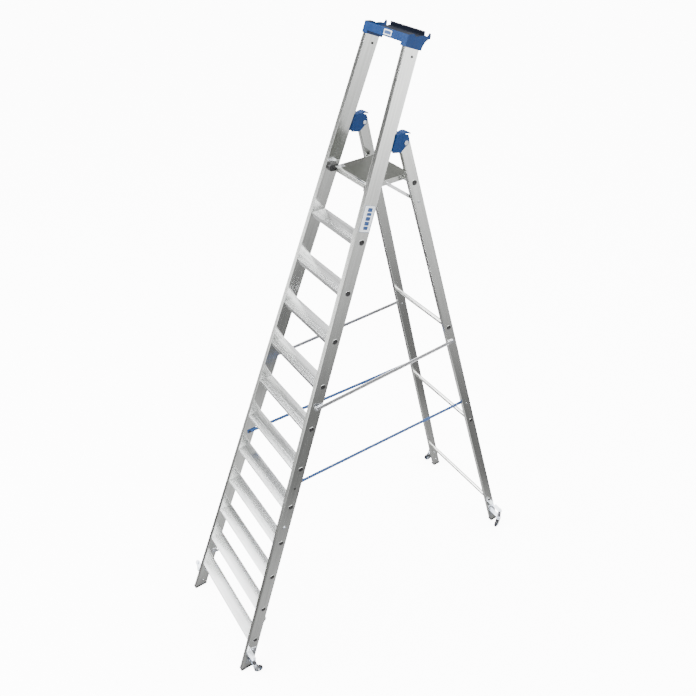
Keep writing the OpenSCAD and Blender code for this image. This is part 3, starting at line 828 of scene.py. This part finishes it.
@dataclass
class TubeEndShades:
    """Black dished discs in the ends of the treads' tubes and of the rear bars, painted shade for the inside
    of the open tubes.
    """

    shelf: FinishShelf
    tread_radius: float = 13.2 * MM
    bar_radius: float = 12.2 * MM
    nose_set: float = 2 * MM
    tube_back: float = 41.6 * MM
    tube_drop: float = 13.7 * MM
    steps: int = 40

    def _shade_disc(self, name: str, face: Vector, out: float, body: str, r: float) -> None:
        """Makes one dished black disc of painted shade.

        Args:
            name: the disc's name.
            face: the middle of the tube's outermost plane.
            out: 1 or -1, the way the tube's end looks along X.
            body: the body that it rides on.
            r: its radius.
        """
        outline = [
            (0.1 * MM, -3.0 * MM), (r - 2.4 * MM, -3.0 * MM), (r - 2.4 * MM, -0.1 * MM), (r, 0.05 * MM),
            (r, 0.4 * MM), (r - 0.5 * MM, 0.8 * MM), (r - 2.0 * MM, 0.8 * MM), (r - 3.0 * MM, -0.6 * MM),
            (0.1 * MM, -1.2 * MM),
        ]
        # The black disc paints the shade inside the open tube end.
        shade_disc = mesh_piece(name, *lathe(outline, face, Vector((out, 0, 0)), self.steps))
        dress(shade_disc, self.shelf.slots[Finish.BLACK])
        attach(shade_disc, body)

    def build(self) -> None:
        """Makes every disc of painted shade."""
        for node in (*STEPS, *BARS):
            low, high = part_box(node)
            if node in BARS:
                body, middle, r = "rear_frame", (low + high) / 2, self.bar_radius
            else:
                body, r = "front_frame", self.tread_radius
                middle = Vector((0, low.y - self.nose_set + self.tube_back, high.z - self.tube_drop))
            self._shade_disc(f"{node}_plug_right", Vector((high.x, middle.y, middle.z)), 1.0, body, r)
            self._shade_disc(f"{node}_plug_left", Vector((low.x, middle.y, middle.z)), -1.0, body, r)
        LOG.info("tube plugs: %d", 2 * (len(STEPS) + len(BARS)))


@dataclass
class Platform:
    """The standing platform."""

    shelf: FinishShelf
    metal_edge: float = 0.4 * MM
    block_edge: float = 1.2 * MM

    def build(self) -> None:
        """Dresses the deck, its frame and its hinge blocks."""
        slots = self.shelf.slots
        dress(frame["nodes"]["platform_deck"], slots[Finish.DECK])
        softened("platform_frame", self.metal_edge, "platform", slots[Finish.EXTRUDED])
        softened("platform_corners", self.metal_edge, "platform", slots[Finish.BRIGHT])
        for side in SIDES:
            softened(f"platform_hinge_{side}", self.block_edge, "front_frame",
                     slots[Finish.BLACK])
        LOG.info("platform: deck, frame, corners and hinge blocks")


@dataclass
class ToolTray:
    """The tool tray and its blank plate."""

    shelf: FinishShelf
    edge: float = 1.5 * MM
    plate_size: tuple[float, float] = (0.054, 0.021)
    plate_x: float = 0.02
    plate_drop: float = 0.017
    plate_border: float = 8 * MM
    wall_set: float = 4.0 * MM

    def build(self, line: FrontLine) -> None:
        """Softens the tray, paints shade into its well and on its upward faces, and puts the plate on its
        front wall.

        Args:
            line: the stiles' front line.
        """
        tray = softened("tool_tray", self.edge, "front_frame", self.shelf.slots[Finish.BLUE], 3)
        self._paint_shade_inside(tray, line)
        lean = math.atan(line.slope)
        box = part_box("tool_tray")
        height = box[1].z - self.plate_drop
        face = Vector((self.plate_x, line.y_at(height), height))
        axes = Matrix.Translation(face) @ Euler((math.pi / 2 - lean, 0, 0)).to_matrix().to_4x4()
        width, tall = self.plate_size
        layers = (
            ("tray_plate", self.shelf.label_white, 0.0, 3 * MM, -0.4 * MM, 0.5 * MM),
            ("tray_plate_panel", self.shelf.label_blue, self.plate_border, 5.9 * MM, 0.3 * MM, 0.65 * MM),
        )
        for name, material, border, radius, low, top in layers:
            outline = rounded_outline(width - border, tall - border, radius)
            plate = mesh_piece(
                name, *slab(outline, axes, self.wall_set + low, self.wall_set + top, 0.12 * MM)
            )
            dress(plate, material)
            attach(plate, "front_frame")
        LOG.info("tool tray: %d layers of blank plate", len(layers))

    def _paint_shade_inside(self, tray: bpy.types.Object, line: FrontLine) -> None:
        """Gives the faces that look up or into the well a darker blue, a painted shade.

        Args:
            tray: the softened tray.
            line: the stiles' front line.
        """
        # Faces inside the well and faces that look up get painted shade.
        tray.data.materials.append(self.shelf.blue_painted_shade)
        for face in tray.data.polygons:
            inward = face.normal.y < -0.5 and face.center.y > line.y_at(face.center.z) + 0.03
            backward = face.normal.y > 0.5 and face.center.y < line.y_at(face.center.z) + 0.01
            if face.normal.z > 0.6 or inward or backward:
                face.material_index = 1


@dataclass
class SideLabel:
    """A blank, generic label on the right stile's outer face."""

    shelf: FinishShelf
    size: tuple[float, float] = (0.060, 0.124)
    above_top_tread: float = 0.091
    behind_front: float = 0.043
    soft_rim: float = 0.08 * MM
    blocks: tuple[tuple[float, float], ...] = (
        (-0.042, 0.016), (-0.021, 0.018), (0.001, 0.018), (0.022, 0.014), (0.042, 0.018)
    )

    def build(self, line: FrontLine) -> None:
        """Lays the label's ground, border and plain blocks of colour.

        Args:
            line: the stiles' front line.
        """
        stile = frame["nodes"]["front_stile_right"]
        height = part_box(STEPS[-1])[1].z + self.above_top_tread
        start = Vector((1.0, line.y_at(height) + self.behind_front, height))
        _, hit, normal, _ = stile.ray_cast(start, Vector((-1, 0, 0)))
        up = Vector((0, line.slope, 1.0))
        up = (up - normal * up.dot(normal)).normalized()
        right = up.cross(normal)
        axes = Matrix.Translation(hit) @ Matrix((right, up, normal)).transposed().to_4x4()
        wide, tall = self.size
        blue, white, rim = self.shelf.label_blue, self.shelf.label_white, 3 * MM
        layers = [
            ("label_border", blue, (0, 0), (wide, tall), 5 * MM, 0.05, 0.25),
            ("label_ground", white, (0, 0), (wide - rim, tall - rim), 4 * MM, 0.2, 0.34),
        ]
        for number, (y, h) in enumerate(self.blocks):
            layers.append((f"label_block_{number}", blue, (0.003, y), (0.026, h), 3 * MM, 0.3, 0.44))
        for name, material, (x, y), (w, h), radius, low, high in layers:
            spot = axes @ Matrix.Translation((x, y, 0))
            outline = rounded_outline(w, h, radius)
            part = mesh_piece(name, *slab(outline, spot, low * MM, high * MM, self.soft_rim))
            dress(part, material)
            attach(part, "front_frame")
        LOG.info("side label: %d layers", len(layers))


@dataclass
class Strap:
    """One webbing strap between the two frames."""

    side: str
    width: float = 25 * MM
    thick: float = 1.6 * MM
    overhang: float = 12 * MM
    tail: float = 62 * MM
    spans: int = 150
    tail_spans: int = 12
    ripple: float = 0.12 * MM
    seam_margin: float = 4 * MM
    seam_start: float = 8 * MM
    seam_end: float = 14 * MM
    stitch_pitch: float = 3.4 * MM
    stitch_length: float = 2.4 * MM
    stitch_radius: float = 0.32 * MM

    @property
    def outward(self) -> float:
        """Gives 1 on the right side and -1 on the left."""
        return 1.0 if self.side == "right" else -1.0

    def _path(self) -> tuple[Vector, Vector]:
        """Finds the middle of the strap's two ends.

        Returns:
            The front end and the rear end.
        """
        low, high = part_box(f"strap_{self.side}")
        outer, inner = (high.x, low.x) if self.side == "right" else (low.x, high.x)
        half = self.outward * self.thick / 2
        front = Vector((outer - half, low.y, high.z - self.width / 2))
        back = Vector((inner + half, high.y, low.z + self.width / 2))
        return front, back

    def _ribbon(self, start: Vector, end: Vector, shift: float, spans: int) -> tuple[list, list]:
        """Makes a strip of webbing with rounded selvedges.

        Args:
            start: the middle of its first end.
            end: the middle of its last end.
            shift: how far it stands towards the ladder's middle.
            spans: how many lengths it is cut into.

        Returns:
            Vertices and faces.
        """
        outline = rounded_outline(self.thick, self.width, self.thick * 0.45, 3)
        rings = []
        for i in range(spans + 1):
            share = i / spans
            centre = start.lerp(end, share)
            stand = self.ripple * math.sin(9.0 * math.pi * share) - self.outward * shift
            rings.append([centre + Vector((x + stand, 0, z)) for x, z in outline])
        return loft(rings)

    def build(self, shelf: FinishShelf) -> None:
        """Makes the strap, its sewn tails and the stitching.

        Args:
            shelf: the shelf of finishes.
        """
        front, back = self._path()
        run = (back - front).normalized()
        near, far_end = front + run * 2 * self.overhang, back - run * 2 * self.overhang
        lift = self.thick * 0.96
        parts = [
            self._ribbon(front, back, 0.0, self.spans),
            self._ribbon(near, near + run * self.tail, lift, self.tail_spans),
            self._ribbon(far_end - run * self.tail, far_end, lift, self.tail_spans),
        ]
        webbing = mesh_piece(f"webbing_{self.side}", *merge(parts))
        dress(webbing, shelf.slots[Finish.WEBBING])
        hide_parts(f"strap_{self.side}")
        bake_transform(webbing)
        for body, start in (("front_frame", near), ("rear_frame", far_end - run * self.tail)):
            self._stitches(shelf, body, start, run, lift)
        LOG.info("strap_%s: %.0f mm of webbing", self.side, (back - front).length / MM)

    def _stitches(self, shelf: FinishShelf, body: str, start: Vector, run: Vector, lift: float) -> None:
        """Sews one tail down with a box of stitches and a cross in it.

        Args:
            shelf: the shelf of finishes.
            body: the body that the tail rides on.
            start: the middle of the tail's end.
            run: the strap's direction.
            lift: how far the tail stands out.
        """
        face = -self.outward * (lift + self.thick / 2 + self.ripple)
        half = self.width / 2 - self.seam_margin
        low, high = self.seam_start, self.tail - self.seam_end
        corners = [(low, -half), (high, -half), (high, half), (low, half)]
        seams = [(corners[i], corners[(i + 1) % 4]) for i in range(4)]
        seams += [(corners[0], corners[2]), (corners[1], corners[3])]
        parts = []
        for (a0, z0), (a1, z1) in seams:
            span = math.hypot(a1 - a0, z1 - z0)
            count = max(1, int(span / self.stitch_pitch))
            heading = run * ((a1 - a0) / span) + Vector((0, 0, (z1 - z0) / span))
            for i in range(count):
                share = (i + 0.5) / count
                middle = start + run * (a0 + (a1 - a0) * share) + Vector((face, 0, z0 + (z1 - z0) * share))
                parts.append(self._stitch(middle, heading))
        thread = mesh_piece(f"stitches_{self.side}_{body}", *merge(parts))
        dress(thread, shelf.thread)
        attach(thread, body)

    def _stitch(self, middle: Vector, heading: Vector) -> tuple[list, list]:
        """Makes one stitch as a short tapered rod.

        Args:
            middle: its middle.
            heading: the way it runs.

        Returns:
            Vertices and faces.
        """
        turn = heading.to_track_quat("Z", "Y").to_matrix()
        rings = []
        for share, girth in ((-0.5, 0.35), (-0.3, 1.0), (0.3, 1.0), (0.5, 0.35)):
            ring = []
            for i in range(6):
                angle = math.pi * i / 3
                spoke = Vector((math.cos(angle), math.sin(angle), 0)) * self.stitch_radius * girth
                ring.append(middle + turn @ (spoke + Vector((0, 0, share * self.stitch_length))))
            rings.append(ring)
        return loft(rings)


@dataclass
class Castor:
    """One sprung swivel castor."""

    corner: str
    wire: float = 1.6 * MM
    turns: float = 7.0
    flat_turns: float = 0.8
    travel: float = 8 * MM
    fork_edge: float = 0.4 * MM
    wheel_radius: float = 28 * MM
    half_width: float = 8.4 * MM
    tyre_depth: float = 7 * MM
    bore: float = 4.05 * MM
    spokes: int = 6

    def build(self, shelf: FinishShelf) -> None:
        """Makes the spring and the wheel, and dresses the stem and the fork.

        Args:
            shelf: the shelf of finishes.
        """
        dress(frame["nodes"][f"castor_stem_{self.corner}"], shelf.slots[Finish.ZINC])
        softened(f"castor_fork_{self.corner}", self.fork_edge, f"fork_{self.corner}",
                 shelf.slots[Finish.ZINC])
        self._spring(shelf)
        self._wheel(shelf)
        LOG.info("castor_%s: spring, fork and wheel", self.corner)

    def _spring(self, shelf: FinishShelf) -> None:
        """Winds the coil spring round the stem.

        Args:
            shelf: the shelf of finishes.
        """
        low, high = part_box(f"castor_spring_{self.corner}")
        middle = (low + high) / 2
        coil = (high.y - low.y) / 2 - self.wire
        floor, ceiling = low.z + self.wire, high.z - self.wire
        steps = int(self.turns * 28)
        rings = []
        for i in range(steps + 1):
            share = i / steps
            angle = 2 * math.pi * self.turns * share
            wound = (share * self.turns - self.flat_turns) / (self.turns - 2 * self.flat_turns)
            eased = min(max(wound, 0.0), 1.0)
            z = floor + (ceiling - floor) * eased
            spoke = Vector((math.cos(angle), math.sin(angle), 0))
            centre = Vector((middle.x, middle.y, z)) + spoke * coil
            ring = []
            for k in range(10):
                turn = 2 * math.pi * k / 10
                ring.append(centre + (spoke * math.cos(turn) + Vector((0, 0, math.sin(turn)))) * self.wire)
            rings.append(ring)
        spring = mesh_piece(f"coil_{self.corner}", *loft(rings))
        dress(spring, shelf.slots[Finish.SPRING])
        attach(spring, "front_frame" if self.corner.startswith("front") else "rear_frame")
        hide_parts(f"castor_spring_{self.corner}")
        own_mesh(spring)

    def _wheel(self, shelf: FinishShelf) -> None:
        """Turns the hub and the tyre about the wheel's own axle.

        Args:
            shelf: the shelf of finishes.
        """
        spin = joint_named(f"wheel_spin_{self.corner}")
        centre, axis = Vector(spin["pos_m"]), Vector(spin["axis"]).normalized()
        radius, half = self.wheel_radius, self.half_width
        rim = radius - self.tyre_depth
        side = [(self.bore, half), (9 * MM, half), (9.8 * MM, half - 0.8 * MM), (10 * MM, half - 3 * MM),
                (rim - 3 * MM, half - 3.4 * MM), (rim - 2 * MM, half - 0.6 * MM), (rim, half - 0.6 * MM)]
        hub = [(r, -d) for r, d in side] + side[::-1]
        tyre = []
        for i in range(17):
            angle = math.pi * i / 16
            bulge = math.sin(angle) ** 0.6
            tyre.append((rim + (radius - rim) * bulge, -(half - 0.2 * MM) * math.cos(angle)))
        parts = [lathe(hub, centre, axis)]
        turn = axis.to_track_quat("Z", "Y").to_matrix()
        for i in range(self.spokes):
            angle = 2 * math.pi * i / self.spokes
            out = turn @ Vector((math.cos(angle), math.sin(angle), 0))
            wide = axis.cross(out) * 1.2 * MM
            ends = (out * 9.6 * MM, out * (rim - 2.4 * MM))
            for sign in (-1, 1):
                base, top = axis * sign * (half - 3.6 * MM), axis * sign * (half - 1.6 * MM)
                rings = [[centre + end + base - wide, centre + end + base + wide,
                          centre + end + top + wide * 0.7, centre + end + top - wide * 0.7] for end in ends]
                parts.append(loft(rings))
        wheel = mesh_piece(f"wheel_hub_{self.corner}", *merge(parts))
        dress(wheel, shelf.slots[Finish.WHEEL])
        rubber = mesh_piece(f"wheel_tyre_{self.corner}", *lathe(tyre, centre, axis, 72))
        dress(rubber, shelf.tyre)
        for piece in (wheel, rubber):
            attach(piece, f"wheel_{self.corner}")
        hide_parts(f"castor_wheel_{self.corner}")


# ------------------------------------------------------------------------ studio


@dataclass(frozen=True)
class Lamp:
    """One soft square light."""

    name: str
    place: tuple[float, float, float]
    size: float
    power: float
    target: tuple[float, float, float] = (0.0, 0.0, 1.5)

    def hang(self) -> None:
        """Adds the light, turned to its target."""
        data = bpy.data.lights.new(self.name, "AREA")
        data.size = self.size
        data.energy = self.power
        lamp = bpy.data.objects.new(self.name, data)
        bpy.context.scene.collection.objects.link(lamp)
        lamp.location = self.place
        aim = Vector(self.target) - Vector(self.place)
        lamp.rotation_euler = aim.to_track_quat("-Z", "Y").to_euler()


@dataclass(frozen=True)
class Studio:
    """Floor, lights and camera."""

    camera_place: tuple[float, float, float] = (2.5315, -1.6069, 4.1462)
    heading: float = 60.354
    dip: float = 39.610
    roll: float = -3.337
    lens: float = 35.969
    shift: tuple[float, float] = (0.03936, 0.03479)
    sensor: float = 36.0
    floor_half: float = 60.0
    floor_reach: float = 20.0
    glow: float = 9.0
    room_light: float = 7.0
    floor_tones: Stops = (
        (0.0, 0.4), (0.035, 0.24), (0.075, 0.06), (0.12, 0.06), (0.2, 0.16), (0.33, 0.3), (0.62, 0.8),
        (0.9, 1.0),
    )
    wall_tones: Stops = (
        (0.0, 0.3), (0.04, 0.035), (0.36, 0.04), (0.46, 0.2), (0.62, 0.26), (0.7, 0.6), (0.75, 1.0),
        (0.83, 1.0), (0.88, 0.5), (0.95, 0.4),
    )
    lamps: tuple[Lamp, ...] = (
        Lamp("key", (-2.5, -4.0, 6.5), 4.0, 700.0),
        Lamp("fill", (4.5, 2.5, 5.0), 3.5, 160.0),
    )

    def camera(self) -> None:
        """Places the camera at the viewing angle."""
        data = bpy.data.cameras.new("camera")
        data.lens = self.lens
        data.sensor_width = self.sensor
        data.shift_x, data.shift_y = self.shift
        data.clip_end = 200.0
        camera = bpy.data.objects.new("camera", data)
        bpy.context.scene.collection.objects.link(camera)
        yaw, dip, roll = (math.radians(v) for v in (self.heading, self.dip, self.roll))
        look = Vector((-math.sin(yaw) * math.cos(dip), math.cos(yaw) * math.cos(dip), -math.sin(dip)))
        level = Vector((math.cos(yaw), math.sin(yaw), 0.0))
        upright = level.cross(look)
        right = level * math.cos(roll) + upright * math.sin(roll)
        up = upright * math.cos(roll) - level * math.sin(roll)
        turn = Matrix((right, up, -look)).transposed().to_4x4()
        camera.matrix_world = Matrix.Translation(self.camera_place) @ turn
        bpy.context.scene.camera = camera

    def floor(self) -> None:
        """Lays a wide pale floor, a little darker in reflections."""
        half = self.floor_half
        corners = [(-half, -half, 0), (half, -half, 0), (half, half, 0), (-half, half, 0)]
        floor = mesh_piece("studio_floor", corners, [[0, 1, 2, 3]], smooth=False)
        material, graph, shader = principled("floor_pale")
        seen = graph.add("ShaderNodeLightPath").outputs["Is Camera Ray"]
        reach = graph.add("ShaderNodeVectorMath", {0: graph.place()}, operation="LENGTH").outputs["Value"]
        mirrored = graph.ramp(graph.math("DIVIDE", reach, self.floor_reach), self.floor_tones)
        shader.inputs["Emission Color"].default_value = (1.0, 1.0, 1.0, 1.0)
        graph.wire(shader, {
            "Base Color": graph.mix(seen, mirrored, (0.95, 0.953, 0.957, 1)),
            "Emission Strength": graph.math("MULTIPLY", seen, self.glow),
        })
        shader.inputs["Roughness"].default_value = 0.9
        shader.inputs["Specular IOR Level"].default_value = 0.1
        dress(floor, material)

    def world(self) -> None:
        """Fills the room with soft light from above, over dim walls that the metal mirrors."""
        world = bpy.data.worlds.new("studio")
        bpy.context.scene.world = world
        world.use_nodes = True
        world.node_tree.nodes.clear()
        graph = Graph(world.node_tree)
        place = graph.add("ShaderNodeTexCoord").outputs["Generated"]
        height = graph.add("ShaderNodeSeparateXYZ", {"Vector": place}).outputs["Z"]
        tone = graph.ramp(height, self.wall_tones)
        seen = graph.add("ShaderNodeLightPath").outputs["Is Camera Ray"]
        colour = graph.mix(seen, tone, (3, 3, 3, 1))
        backdrop = graph.add("ShaderNodeBackground", {"Color": colour, "Strength": self.room_light})
        graph.add("ShaderNodeOutputWorld", {"Surface": backdrop.outputs[0]})

    def build(self) -> None:
        """Sets up the whole studio."""
        self.camera()
        self.floor()
        self.world()
        for lamp in self.lamps:
            lamp.hang()
        LOG.info("studio: floor, room, camera and %d lamps", len(self.lamps))


def main() -> None:
    """Builds every assembly in order."""
    logging.basicConfig(level=logging.INFO, format="%(message)s")
    Studio().build()
    shelf = FinishShelf()
    line = FrontLine()
    Frames(shelf).build()
    # Black discs in the tube ends paint the shade inside the open tubes.
    TubeEndShades(shelf).build()
    Platform(shelf).build()
    ToolTray(shelf).build(line)
    SideLabel(shelf).build(line)
    for side in SIDES:
        Strap(side).build(shelf)
    for corner in CORNERS:
        Castor(corner).build(shelf)
    bpy.context.view_layer.update()


if __name__ == "__main__":
    main()
